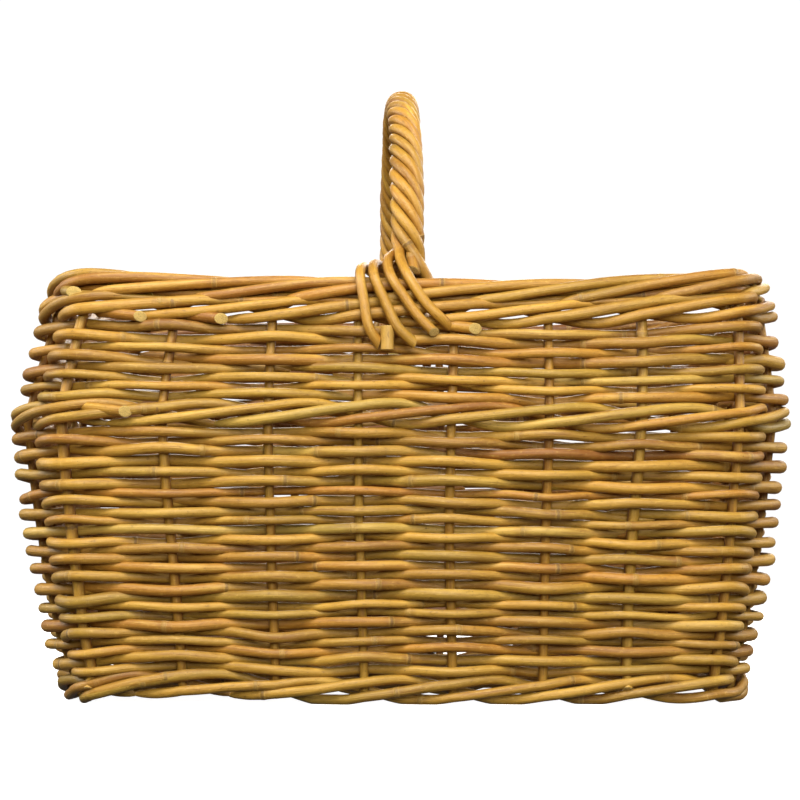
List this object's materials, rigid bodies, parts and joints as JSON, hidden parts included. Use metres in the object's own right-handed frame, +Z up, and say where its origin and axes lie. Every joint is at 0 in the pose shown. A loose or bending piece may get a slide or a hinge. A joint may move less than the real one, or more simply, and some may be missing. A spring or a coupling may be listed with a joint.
{
  "type": "woven market basket",
  "caption": "Rectangular woven rattan market basket with a bulging waist, a rolled rope border and a fixed, wrapped bow handle across its depth.",
  "frame": {"origin": "centre of the bounding box in plan, on the floor that the basket stands on", "axes": "+X along the basket's length, +Y towards the back, +Z up; the handle's bow runs along Y"},
  "size_m": [0.5, 0.3496, 0.4141],
  "materials": {
    "weavers": "natural rattan, skin on",
    "wales": "natural rattan, skin on",
    "border": "natural rattan, skin on",
    "stakes": "natural rattan, skin on",
    "base": "natural rattan, skin on",
    "handle_bow": "natural rattan, skin on",
    "handle_wrap": "natural rattan, skin on",
    "pegs": "natural rattan, skin on"
  },
  "bodies": {
    "root": {"back_border_rods": "border", "back_handle_peg": "pegs", "back_stakes": "stakes", "base_frame": "base", "base_sticks": "base", "base_weavers_over_first": "base", "base_weavers_under_first": "base", "foot_wale": "wales", "front_border_rods": "border", "front_handle_peg": "pegs", "front_stakes": "stakes", "handle_bow": "handle_bow", "handle_strand_1": "handle_wrap", "handle_strand_2": "handle_wrap", "handle_strand_3": "handle_wrap", "handle_strand_4": "handle_wrap", "handle_strand_5": "handle_wrap", "handle_strand_6": "handle_wrap", "left_border_rods": "border", "left_stakes": "stakes", "lower_row_01": "weavers", "lower_row_02": "weavers", "lower_row_03": "weavers", "lower_row_04": "weavers", "lower_row_05": "weavers", "lower_row_06": "weavers", "lower_row_07": "weavers", "lower_row_08": "weavers", "lower_row_09": "weavers", "lower_row_10": "weavers", "lower_row_11": "weavers", "lower_row_12": "weavers", "lower_row_13": "weavers", "lower_row_14": "weavers", "lower_row_15": "weavers", "lower_row_16": "weavers", "lower_row_17": "weavers", "lower_row_18": "weavers", "lower_row_19": "weavers", "lower_row_20": "weavers", "lower_row_21": "weavers", "lower_row_22": "weavers", "lower_row_23": "weavers", "lower_row_24": "weavers", "lower_row_25": "weavers", "lower_row_26": "weavers", "right_border_rods": "border", "right_stakes": "stakes", "top_wale": "wales", "upper_row_01": "weavers", "upper_row_02": "weavers", "upper_row_03": "weavers", "upper_row_04": "weavers", "upper_row_05": "weavers", "upper_row_06": "weavers", "upper_row_07": "weavers", "upper_row_08": "weavers", "waist_wale": "wales"}
  },
  "joints": []
}
